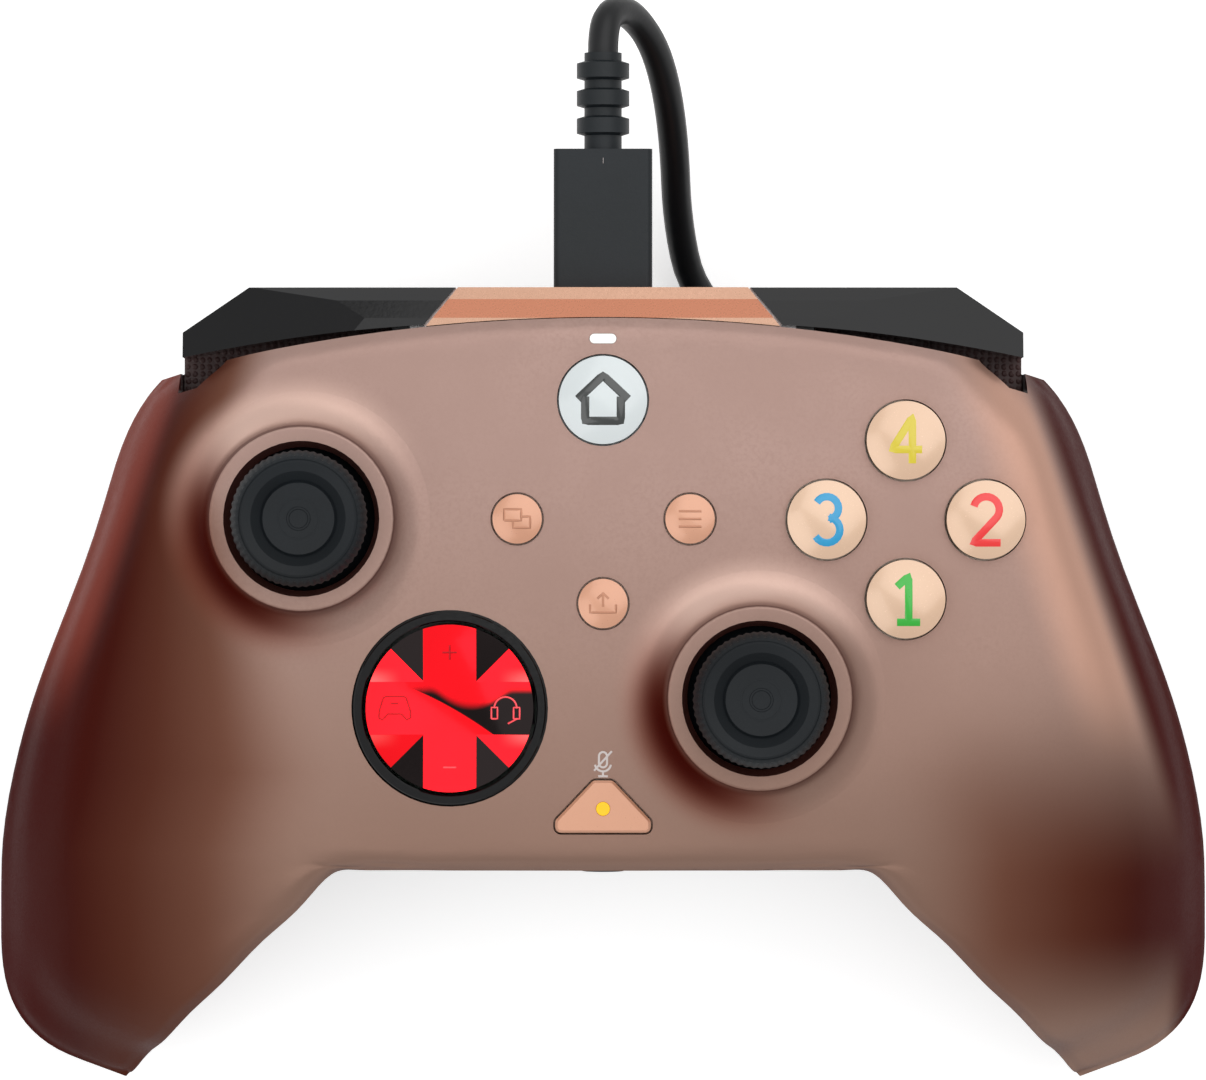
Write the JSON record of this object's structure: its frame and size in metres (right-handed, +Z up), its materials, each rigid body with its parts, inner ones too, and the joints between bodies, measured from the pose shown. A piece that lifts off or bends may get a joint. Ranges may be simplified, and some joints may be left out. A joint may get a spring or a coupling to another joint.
{
  "type": "wired gamepad",
  "caption": "Wired gamepad with offset sticks, dished pad, face buttons, bumpers, triggers and back buttons, and its cable put away in a tied coil.",
  "frame": {"origin": "on the surface it lies on, under the middle of the case", "axes": "+X to the player's right along the case, +Y away from the player towards the bumpers, +Z up out of the face"},
  "size_m": [0.1542, 0.1377, 0.0586],
  "materials": {
    "copper_face": "metallic lacquer, satin",
    "copper_trim": "metallic lacquer, gloss",
    "copper_button": "pearly gloss",
    "black_gloss": "high gloss",
    "black_grip": "matte, tinted",
    "red_mirror": "mirror-like red",
    "black_rubber": "matte",
    "cord_black": "satin",
    "inner_black": "matte",
    "inner_grey": "matte",
    "board_green": "satin",
    "chip_black": "matte",
    "bright_steel": "brushed",
    "plated_tip": "bright",
    "mat_grey": "matte",
    "home_white": "translucent gloss",
    "lens_clear": "clear",
    "motor_metal": "satin",
    "weight_metal": "plain"
  },
  "bodies": {
    "case": {"audio_jack": "inner_black", "board_chips": "chip_black", "board_screws": "bright_steel", "bumper_pins": "bright_steel", "button_mat": "mat_grey", "case_screws": "bright_steel", "coil_tie": "cord_black", "cord": "cord_black", "cord_coil": "cord_black", "faceplate": "copper_face", "inner_frame": "inner_black", "left_motor": "motor_metal", "left_stick_housing": "bright_steel", "left_stick_sensors": "inner_grey", "left_trigger_spring": "bright_steel", "main_board": "board_green", "pad_posts": "inner_black", "pad_ring": "black_gloss", "rear_shell": "black_grip", "right_motor": "motor_metal", "right_stick_housing": "bright_steel", "right_stick_sensors": "inner_grey", "right_trigger_spring": "bright_steel", "status_lens": "lens_clear", "strain_relief": "cord_black", "tact_switches": "inner_grey", "top_bridge": "copper_trim", "trigger_pins": "bright_steel", "usb_a_plug": "cord_black", "usb_a_tip": "plated_tip", "usb_c_plug": "cord_black", "usb_c_tip": "plated_tip", "usb_socket": "plated_tip"},
    "north_button": {"north_button": "copper_button"},
    "west_button": {"west_button": "copper_button"},
    "east_button": {"east_button": "copper_button"},
    "south_button": {"south_button": "copper_button"},
    "view_button": {"view_button": "copper_button"},
    "menu_button": {"menu_button": "copper_button"},
    "share_button": {"share_button": "copper_button"},
    "home_button": {"home_button": "home_white"},
    "function_button": {"function_button": "copper_trim", "function_lens": "lens_clear"},
    "left_back_button": {"left_back_button": "inner_black"},
    "left_bumper": {"left_bumper": "black_gloss"},
    "left_trigger": {"left_trigger": "black_gloss"},
    "left_rotor": {"left_motor_weight": "weight_metal"},
    "left_yoke": {"left_stick_yoke": "inner_black"},
    "left_stem": {"left_stick_stem": "inner_black"},
    "left_cap": {"left_stick_cap": "black_rubber"},
    "right_back_button": {"right_back_button": "inner_black"},
    "right_bumper": {"right_bumper": "black_gloss"},
    "right_trigger": {"right_trigger": "black_gloss"},
    "right_rotor": {"right_motor_weight": "weight_metal"},
    "right_yoke": {"right_stick_yoke": "inner_black"},
    "right_stem": {"right_stick_stem": "inner_black"},
    "right_cap": {"right_stick_cap": "black_rubber"},
    "pad_carrier": {"pad_carrier": "inner_black"},
    "pad": {"pad_dish": "red_mirror"}
  },
  "joints": [
    {"name": "north_press", "type": "slide", "parent": "case", "child": "north_button", "axis": [0, 0, -1], "range_m": [0, 0.0015], "stiffness_N_per_m": 300, "springref_m": -0.001},
    {"name": "west_press", "type": "slide", "parent": "case", "child": "west_button", "axis": [0, 0, -1], "range_m": [0, 0.0015], "stiffness_N_per_m": 300, "springref_m": -0.001},
    {"name": "east_press", "type": "slide", "parent": "case", "child": "east_button", "axis": [0, 0, -1], "range_m": [0, 0.0015], "stiffness_N_per_m": 300, "springref_m": -0.001},
    {"name": "south_press", "type": "slide", "parent": "case", "child": "south_button", "axis": [0, 0, -1], "range_m": [0, 0.0015], "stiffness_N_per_m": 300, "springref_m": -0.001},
    {"name": "view_press", "type": "slide", "parent": "case", "child": "view_button", "axis": [0, 0, -1], "range_m": [0, 0.0008], "stiffness_N_per_m": 300, "springref_m": -0.001},
    {"name": "menu_press", "type": "slide", "parent": "case", "child": "menu_button", "axis": [0, 0, -1], "range_m": [0, 0.0008], "stiffness_N_per_m": 300, "springref_m": -0.001},
    {"name": "share_press", "type": "slide", "parent": "case", "child": "share_button", "axis": [0, 0, -1], "range_m": [0, 0.0008], "stiffness_N_per_m": 300, "springref_m": -0.001},
    {"name": "home_press", "type": "slide", "parent": "case", "child": "home_button", "axis": [0, 0, -1], "range_m": [0, 0.0006], "stiffness_N_per_m": 400, "springref_m": -0.001},
    {"name": "function_press", "type": "slide", "parent": "case", "child": "function_button", "axis": [0, 0, -1], "range_m": [0, 0.0008], "stiffness_N_per_m": 300, "springref_m": -0.001},
    {"name": "left_back_press", "type": "slide", "parent": "case", "child": "left_back_button", "axis": [0, 0, 1], "range_m": [0, 0.0008], "stiffness_N_per_m": 400, "springref_m": -0.001},
    {"name": "left_bumper_click", "type": "hinge", "parent": "case", "child": "left_bumper", "pos_m": [-0.0214, 0.0419, 0.0344], "axis": [0, 0, 1], "range_deg": [0, 2], "stiffness_Nm_per_rad": 1.5, "springref_deg": -1.72},
    {"name": "left_trigger_pull", "type": "hinge", "parent": "case", "child": "left_trigger", "pos_m": [-0.0425, 0.042, 0.0265], "axis": [-1, 0, 0], "range_deg": [0, 16], "stiffness_Nm_per_rad": 0.06, "springref_deg": -28.65},
    {"name": "left_rotor_spin", "type": "hinge", "parent": "case", "child": "left_rotor", "pos_m": [-0.05, -0.018, 0.024], "axis": [1, 0, 0], "continuous": true},
    {"name": "left_stick_tilt_y", "type": "hinge", "parent": "case", "child": "left_yoke", "pos_m": [-0.0371, 0.0214, 0.037], "axis": [1, 0, 0], "range_deg": [-17, 17], "stiffness_Nm_per_rad": 0.02},
    {"name": "left_stick_tilt_x", "type": "hinge", "parent": "left_yoke", "child": "left_stem", "pos_m": [-0.0371, 0.0214, 0.037], "axis": [0, 1, 0], "range_deg": [-17, 17], "stiffness_Nm_per_rad": 0.02},
    {"name": "left_stick_click", "type": "slide", "parent": "left_stem", "child": "left_cap", "axis": [0, 0, -1], "range_m": [0, 0.0005], "stiffness_N_per_m": 800, "springref_m": -0.001},
    {"name": "right_back_press", "type": "slide", "parent": "case", "child": "right_back_button", "axis": [0, 0, 1], "range_m": [0, 0.0008], "stiffness_N_per_m": 400, "springref_m": -0.001},
    {"name": "right_bumper_click", "type": "hinge", "parent": "case", "child": "right_bumper", "pos_m": [0.0214, 0.0419, 0.0344], "axis": [0, 0, -1], "range_deg": [0, 2], "stiffness_Nm_per_rad": 1.5, "springref_deg": -1.72},
    {"name": "right_trigger_pull", "type": "hinge", "parent": "case", "child": "right_trigger", "pos_m": [0.0425, 0.042, 0.0265], "axis": [-1, 0, 0], "range_deg": [0, 16], "stiffness_Nm_per_rad": 0.06, "springref_deg": -28.65},
    {"name": "right_rotor_spin", "type": "hinge", "parent": "case", "child": "right_rotor", "pos_m": [0.05, -0.018, 0.024], "axis": [1, 0, 0], "continuous": true},
    {"name": "right_stick_tilt_y", "type": "hinge", "parent": "case", "child": "right_yoke", "pos_m": [0.0193, -0.0007, 0.037], "axis": [1, 0, 0], "range_deg": [-17, 17], "stiffness_Nm_per_rad": 0.02},
    {"name": "right_stick_tilt_x", "type": "hinge", "parent": "right_yoke", "child": "right_stem", "pos_m": [0.0193, -0.0007, 0.037], "axis": [0, 1, 0], "range_deg": [-17, 17], "stiffness_Nm_per_rad": 0.02},
    {"name": "right_stick_click", "type": "slide", "parent": "right_stem", "child": "right_cap", "axis": [0, 0, -1], "range_m": [0, 0.0005], "stiffness_N_per_m": 800, "springref_m": -0.001},
    {"name": "pad_tilt_y", "type": "hinge", "parent": "case", "child": "pad_carrier", "pos_m": [-0.01895, -0.002, 0.04235], "axis": [1, 0, 0], "range_deg": [-3, 3], "stiffness_Nm_per_rad": 0.2},
    {"name": "pad_tilt_x", "type": "hinge", "parent": "pad_carrier", "child": "pad", "pos_m": [-0.01895, -0.002, 0.04235], "axis": [0, 1, 0], "range_deg": [-3, 3], "stiffness_Nm_per_rad": 0.2}
  ]
}
